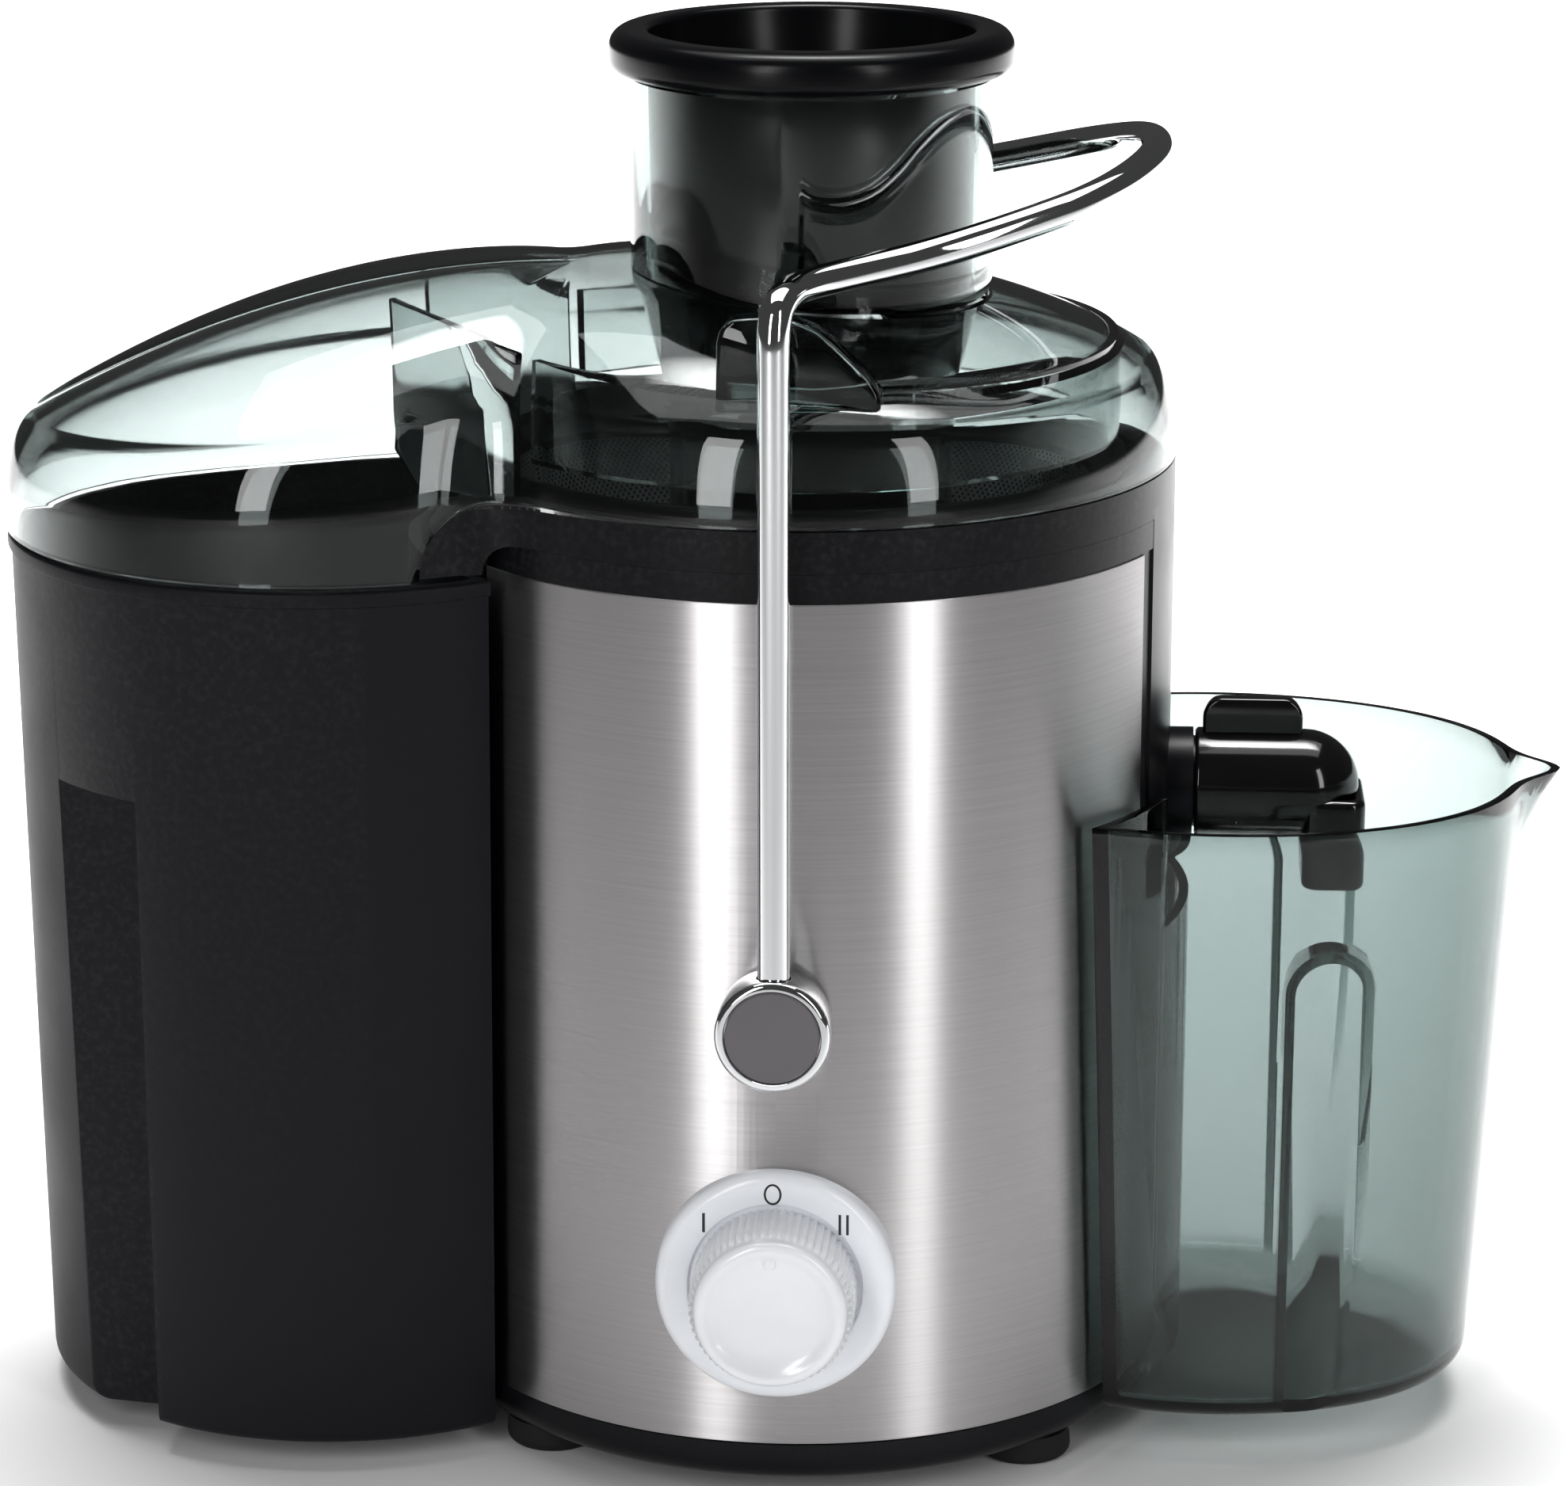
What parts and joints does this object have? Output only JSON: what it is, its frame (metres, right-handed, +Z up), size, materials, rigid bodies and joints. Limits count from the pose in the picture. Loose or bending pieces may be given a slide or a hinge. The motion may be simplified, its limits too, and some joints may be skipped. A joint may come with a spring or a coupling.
{
  "type": "centrifugal juicer",
  "caption": "Upright centrifugal juicer: steel-wrapped motor base, filter basket under a clear lid with feed chute, wire locking arm, pulp bin, spout and juice jug.",
  "frame": {"origin": "on the motor body's axis, at the level of the feet's undersides", "axes": "+Z up, +X towards the juice jug, -Y towards the control dial"},
  "size_m": [0.3194, 0.1814, 0.2871],
  "materials": {
    "matte_black": "fine matt texture",
    "satin_black": "satin",
    "gloss_black": "gloss",
    "brushed_steel": "brushed round the body",
    "plated_steel": "plated",
    "chrome": "bright",
    "cast_alloy": "cast",
    "lamination_steel": "stacked laminations",
    "copper_wire": "enamelled copper",
    "brass": "satin",
    "carbon": "carbon",
    "rubber": "matt",
    "silver_plastic": "satin silver",
    "ivory_plastic": "moulded",
    "grey_disc": "matt grey",
    "blue_plastic": "moulded",
    "mesh_steel": "bright, perforated",
    "smoky_clear": "clear grey-green",
    "jug_clear": "clear grey-green"
  },
  "bodies": {
    "base": {"motor_housing": "matte_black", "steel_wrap": "brushed_steel", "base_cover": "matte_black", "rubber_feet": "rubber", "base_screws": "plated_steel", "cord_gland": "rubber", "dial_bezel": "silver_plastic", "rotary_switch": "ivory_plastic", "safety_switch": "matte_black", "pivot_pins": "plated_steel", "lower_motor_bracket": "cast_alloy", "upper_motor_bracket": "cast_alloy", "motor_grommets": "rubber", "motor_bolts": "plated_steel", "motor_stator": "lamination_steel", "field_coils": "copper_wire", "brush_holders": "brass", "carbon_brushes": "carbon", "lower_bearing": "plated_steel", "upper_bearing": "plated_steel", "juice_bowl": "satin_black", "spout_o_ring": "rubber"},
    "drive": {"motor_shaft": "plated_steel", "rotor_core": "lamination_steel", "rotor_windings": "copper_wire", "commutator": "copper_wire", "cooling_fan": "blue_plastic", "drive_coupling": "satin_black", "basket_hub": "satin_black", "filter_mesh": "mesh_steel", "basket_ring": "satin_black", "blade_disc": "mesh_steel"},
    "dial": {"dial_knob": "silver_plastic"},
    "arm": {"locking_arm": "chrome", "front_pivot_cap": "chrome", "rear_pivot_cap": "chrome", "pivot_cap_discs": "grey_disc"},
    "cover": {"lid": "smoky_clear"},
    "food_pusher": {"pusher": "satin_black"},
    "spout": {"spout_elbow": "gloss_black"},
    "pulp_bin": {"pulp_container": "matte_black"},
    "jug": {"juice_jug": "jug_clear"}
  },
  "joints": [
    {"name": "drive_spin", "type": "hinge", "parent": "base", "child": "drive", "pos_m": [0, 0, 0.1], "axis": [0, 0, 1], "continuous": true},
    {"name": "dial_turn", "type": "hinge", "parent": "base", "child": "dial", "pos_m": [0, -0.08, 0.0497], "axis": [0, -1, 0], "range_deg": [-48, 48]},
    {"name": "arm_swing", "type": "hinge", "parent": "base", "child": "arm", "pos_m": [0, 0, 0.1041], "axis": [0, 1, 0], "range_deg": [0, 90]},
    {"name": "lid_lift", "type": "slide", "parent": "base", "child": "cover", "axis": [0, 0, 1], "range_m": [0, 0.05]},
    {"name": "pusher_slide", "type": "slide", "parent": "cover", "child": "food_pusher", "axis": [0, 0, 1], "range_m": [0, 0.09]},
    {"name": "spout_turn", "type": "hinge", "parent": "base", "child": "spout", "pos_m": [0.085, 0, 0.1323], "axis": [1, 0, 0], "range_deg": [0, 180]},
    {"name": "bin_slide", "type": "slide", "parent": "base", "child": "pulp_bin", "axis": [-1, 0, 0], "range_m": [0, 0.08]},
    {"name": "jug_slide", "type": "slide", "parent": "base", "child": "jug", "axis": [1, 0, 0], "range_m": [0, 0.1]}
  ],
  "couplings": [
    {"joint": "lid_lift", "follows": "arm_swing", "m_per_rad": 0.03}
  ]
}
